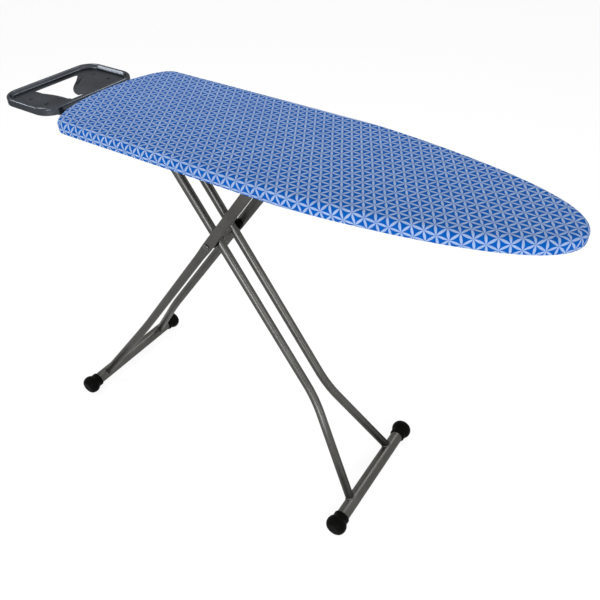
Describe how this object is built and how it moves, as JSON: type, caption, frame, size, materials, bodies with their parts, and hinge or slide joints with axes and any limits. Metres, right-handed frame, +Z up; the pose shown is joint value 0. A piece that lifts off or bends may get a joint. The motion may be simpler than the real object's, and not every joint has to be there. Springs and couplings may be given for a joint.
{
  "type": "ironing board",
  "caption": "Folding ironing board with a padded fabric top, crossed tubular legs, sliding height adjustment and a pressed steel iron rest at its tail end.",
  "frame": {"origin": "on the floor, under the middle of the overall length and width", "axes": "+X from the iron rest at the tail end towards the nose, +Y across the board, away from the height lever, +Z up"},
  "size_m": [1.3, 0.394, 0.912],
  "materials": {
    "cover_cloth": "printed cotton, blue with pale six-petal stars",
    "pad_felt": "pale needled felt",
    "frame_steel": "grey enamelled pressed steel",
    "leg_paint": "dark grey metallic powder coat, satin",
    "rest_steel": "dark grey metallic enamel, satin to gloss",
    "pin_steel": "dull zinc plated",
    "black_plastic": "moulded black plastic, fine texture"
  },
  "bodies": {
    "board": {"cover": "cover_cloth", "pad": "pad_felt", "deck": "frame_steel", "rim_frame": "frame_steel", "tail_channel": "frame_steel", "rear_channel": "frame_steel", "front_channel": "frame_steel", "nose_channel": "frame_steel", "rail_near": "frame_steel", "rail_far": "frame_steel", "hinge_ear_near": "frame_steel", "hinge_ear_far": "frame_steel", "hinge_pin": "pin_steel", "iron_rest": "rest_steel", "rest_arm_near": "frame_steel", "rest_arm_far": "frame_steel", "rest_rivet_near_outer": "rest_steel", "rest_rivet_near_inner": "rest_steel", "rest_rivet_far_outer": "rest_steel", "rest_rivet_far_inner": "rest_steel", "lever_bearing_rear": "frame_steel", "lever_bearing_front": "frame_steel", "lever_spring": "pin_steel"},
    "leg_a": {"leg_a_hinge_tube": "leg_paint", "leg_a_tube_near": "leg_paint", "leg_a_tube_far": "leg_paint", "leg_a_foot_bar": "leg_paint", "leg_a_cap_near": "black_plastic", "leg_a_cap_far": "black_plastic", "leg_a_cross_sleeve": "leg_paint"},
    "leg_b": {"leg_b_tube_near": "leg_paint", "leg_b_tube_far": "leg_paint", "leg_b_top_rod": "pin_steel", "leg_b_foot_bar": "leg_paint", "leg_b_cap_near": "black_plastic", "leg_b_cap_far": "black_plastic", "cross_pin": "pin_steel", "cross_spacer_near": "black_plastic", "cross_spacer_far": "black_plastic"},
    "slide_shoes": {"slide_shoe_near": "black_plastic", "slide_shoe_far": "black_plastic"},
    "height_lever": {"lever_bar": "pin_steel", "lever_comb": "frame_steel", "lever_arm": "frame_steel", "lever_grip": "black_plastic"}
  },
  "joints": [
    {"name": "leg_a_fold", "type": "hinge", "parent": "board", "child": "leg_a", "pos_m": [-0.28733, 0, 0.8758], "axis": [0, -1, 0], "range_deg": [0, 50]},
    {"name": "legs_cross", "type": "hinge", "parent": "leg_a", "child": "leg_b", "pos_m": [-0.114, 0, 0.6337], "axis": [0, 1, 0], "range_deg": [0, 100]},
    {"name": "shoes_level", "type": "hinge", "parent": "leg_b", "child": "slide_shoes", "pos_m": [0.05933, 0, 0.8758], "axis": [0, -1, 0], "range_deg": [0, 50]},
    {"name": "lever_turn", "type": "hinge", "parent": "board", "child": "height_lever", "pos_m": [0.1833, -0.11, 0.874], "axis": [-1, 0, 0], "range_deg": [0, 25], "stiffness_Nm_per_rad": 0.3, "springref_deg": -14.32}
  ],
  "couplings": [
    {"joint": "legs_cross", "follows": "leg_a_fold", "ratio": 2},
    {"joint": "shoes_level", "follows": "leg_a_fold", "ratio": 1}
  ]
}
